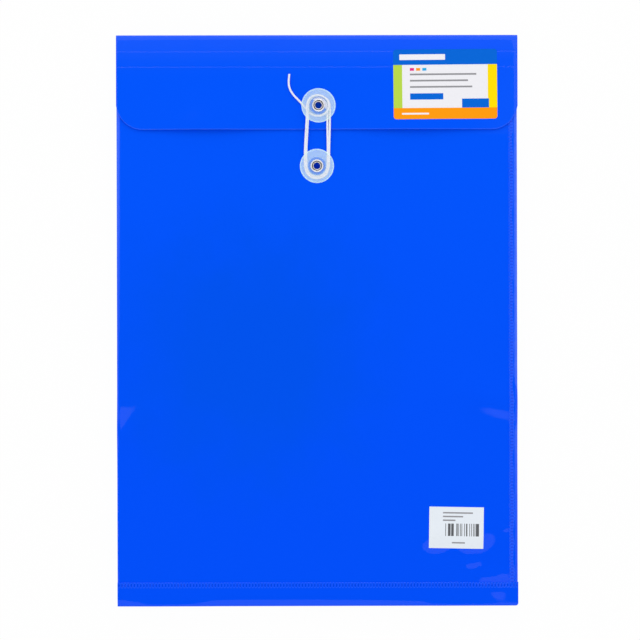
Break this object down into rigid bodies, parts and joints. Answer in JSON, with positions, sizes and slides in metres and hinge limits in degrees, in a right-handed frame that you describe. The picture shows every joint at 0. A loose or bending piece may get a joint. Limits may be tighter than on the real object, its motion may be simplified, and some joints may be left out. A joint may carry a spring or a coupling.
{
  "type": "string tie envelope",
  "caption": "Legal-size glossy blue plastic envelope: a folded pocket whose flap is tied shut by a string wound round clear riveted buttons.",
  "frame": {"origin": "middle of the envelope's outline, on the plane of its back face", "axes": "+X to the right seen from the front, +Y up to the top fold, +Z out of the front; it lies on its back"},
  "size_m": [0.254, 0.362, 0.0116],
  "materials": {
    "sheet": "glossy blue polypropylene sheet with a soft sheen",
    "button": "clear plastic disc, polished",
    "spacer": "clear plastic washer",
    "eyelet": "bright nickel-plated rolled metal",
    "string": "white twisted cotton-like string",
    "flap_sticker": "printed satin sticker with blue, yellow, green and orange fields",
    "front_sticker": "white matt sticker with plain bars"
  },
  "bodies": {
    "pocket": {"back_panel": "sheet", "front_panel": "sheet", "left_fold": "sheet", "right_fold": "sheet", "bottom_fold": "sheet", "right_lap": "sheet", "bottom_lap": "sheet", "lower_spacer": "spacer", "lower_eyelet": "eyelet", "barcode_label": "front_sticker"},
    "flap_hem": {"flap_strip_1": "sheet", "top_fold": "sheet"},
    "flap_band": {"flap_strip_2": "sheet"},
    "flap": {"flap_panel": "sheet", "upper_spacer": "spacer", "upper_eyelet": "eyelet", "string_winding": "string", "string_tail": "string", "print_label": "flap_sticker"},
    "upper_disc": {"upper_button": "button"},
    "lower_disc": {"lower_button": "button"}
  },
  "joints": [
    {"name": "flap_hinge", "type": "hinge", "parent": "pocket", "child": "flap_hem", "pos_m": [0, 0.17765, 0.00335], "axis": [-1, 0, 0], "range_deg": [0, 180], "deforming": ["top_fold", "string_winding", "string_tail"]},
    {"name": "first_crease", "type": "hinge", "parent": "flap_hem", "child": "flap_band", "pos_m": [0, 0.1706, 0.0067], "axis": [-1, 0, 0], "range_deg": [0, 90], "stiffness_Nm_per_rad": 0.01, "deforming": ["string_winding", "string_tail", "print_label"]},
    {"name": "second_crease", "type": "hinge", "parent": "flap_band", "child": "flap", "pos_m": [0, 0.16085, 0.0067], "axis": [-1, 0, 0], "range_deg": [0, 90], "stiffness_Nm_per_rad": 0.01, "deforming": ["string_winding", "string_tail", "print_label"]},
    {"name": "upper_button_spin", "type": "hinge", "parent": "flap", "child": "upper_disc", "pos_m": [0.00095, 0.13595, 0.0067], "axis": [0, 0, 1], "continuous": true},
    {"name": "lower_button_spin", "type": "hinge", "parent": "pocket", "child": "lower_disc", "pos_m": [-0.0001, 0.098, 0.0056], "axis": [0, 0, 1], "continuous": true}
  ]
}
